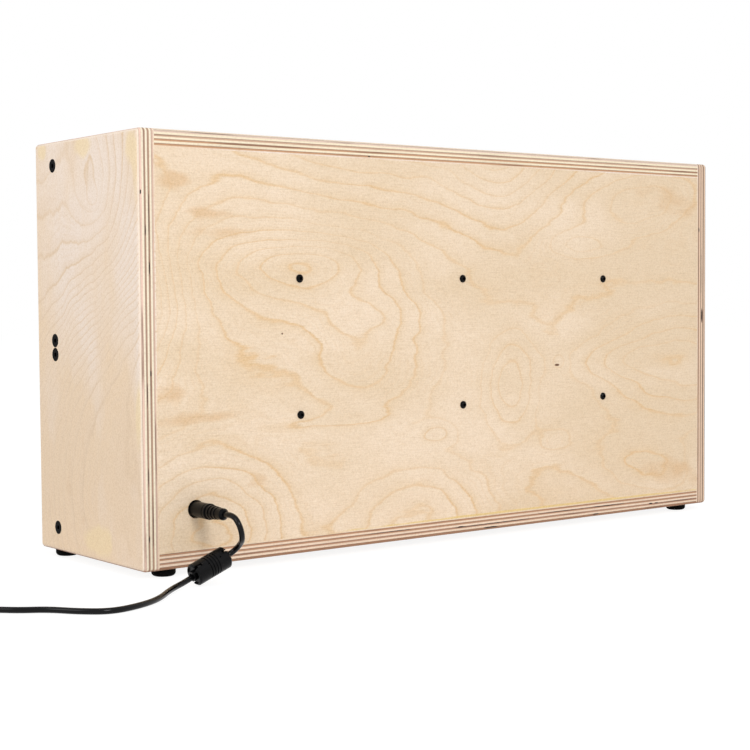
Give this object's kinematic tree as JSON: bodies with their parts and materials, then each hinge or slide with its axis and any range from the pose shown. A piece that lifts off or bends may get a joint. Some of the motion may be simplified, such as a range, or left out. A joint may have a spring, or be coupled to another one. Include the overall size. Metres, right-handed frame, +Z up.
{
  "type": "modular synthesizer case",
  "caption": "Open-front plywood case with lipped aluminium module rails on rubber feet, a power board inside, and a DC lead with ferrite and mains adapter plugged in at the back.",
  "frame": {"origin": "on the floor under the middle of the case, at the underside of the rubber feet", "axes": "+X along the module rows, towards the end with the power inlet; -Y out of the open front; +Y out of the back panel; +Z up"},
  "size_m": [0.7255, 0.2925, 0.2959],
  "materials": {
    "adapter_plastic": "fine-textured black plastic",
    "beech_dowel": "plain beech dowel",
    "birch_plywood": "clear-coated birch plywood, plies bare at the edges",
    "black_case": "black coated metal can",
    "black_plastic": "moulded black plastic",
    "black_steel": "blackened steel, slightly glossy",
    "brass": "plain brass",
    "cable_pvc": "black PVC sheath, faint sheen",
    "capacitor_sleeve": "shrunk plastic sleeve",
    "ferrite_ceramic": "bare grey ferrite",
    "foot_rubber": "matte black rubber",
    "fuse_glass": "clear glass tube",
    "gold_pins": "gold-flashed pins",
    "led_lens": "clear tinted lens",
    "nickel": "nickel plate",
    "plug_pvc": "soft black PVC overmould",
    "rail_aluminium": "clear-anodised extrusion",
    "solder_mask": "green solder mask on glass-epoxy",
    "terminal_plastic": "green moulded plastic",
    "tie_strap": "black hook-and-loop strap",
    "zinc_steel": "zinc-plated steel"
  },
  "bodies": {
    "case": {"back_dowels": "beech_dowel", "back_panel": "birch_plywood", "back_screws": "black_steel", "board_screws": "zinc_steel", "board_standoffs": "brass", "bottom_panel": "birch_plywood", "bus_headers": "black_plastic", "corner_dowels": "beech_dowel", "filter_capacitors": "capacitor_sleeve", "foot_screws": "zinc_steel", "foot_washers": "zinc_steel", "fuse_clips": "brass", "glass_fuse": "fuse_glass", "header_pins": "gold_pins", "input_terminal": "terminal_plastic", "jack_body": "black_plastic", "jack_nut": "nickel", "jack_pin": "brass", "jack_plate": "zinc_steel", "jack_plate_screws": "zinc_steel", "jack_tabs": "brass", "left_rail_screws": "black_steel", "left_side_panel": "birch_plywood", "lower_row_bottom_rail": "rail_aluminium", "lower_row_bottom_strip": "zinc_steel", "lower_row_top_rail": "rail_aluminium", "lower_row_top_strip": "zinc_steel", "power_board": "solder_mask", "power_converters": "black_case", "right_rail_screws": "black_steel", "right_side_panel": "birch_plywood", "rubber_feet": "foot_rubber", "status_leds": "led_lens", "top_panel": "birch_plywood", "upper_row_bottom_rail": "rail_aluminium", "upper_row_bottom_strip": "zinc_steel", "upper_row_top_rail": "rail_aluminium", "upper_row_top_strip": "zinc_steel"},
    "power_lead": {"plug_body": "plug_pvc", "plug_barrel": "nickel", "plug_insulator": "black_plastic", "ferrite_upper_shell": "black_plastic", "ferrite_lower_shell": "black_plastic", "ferrite_core": "ferrite_ceramic", "power_cable": "cable_pvc", "cable_coil": "cable_pvc", "coil_tie": "tie_strap", "cable_tail": "cable_pvc", "adapter_lower_shell": "adapter_plastic", "adapter_upper_shell": "adapter_plastic", "adapter_inlet": "black_plastic", "inlet_pins": "nickel", "adapter_gland": "plug_pvc", "adapter_led": "led_lens"}
  },
  "joints": [
    {"name": "power_plug_pull", "type": "slide", "parent": "case", "child": "power_lead", "axis": [0, 1, 0], "range_m": [0, 0.02]}
  ]
}
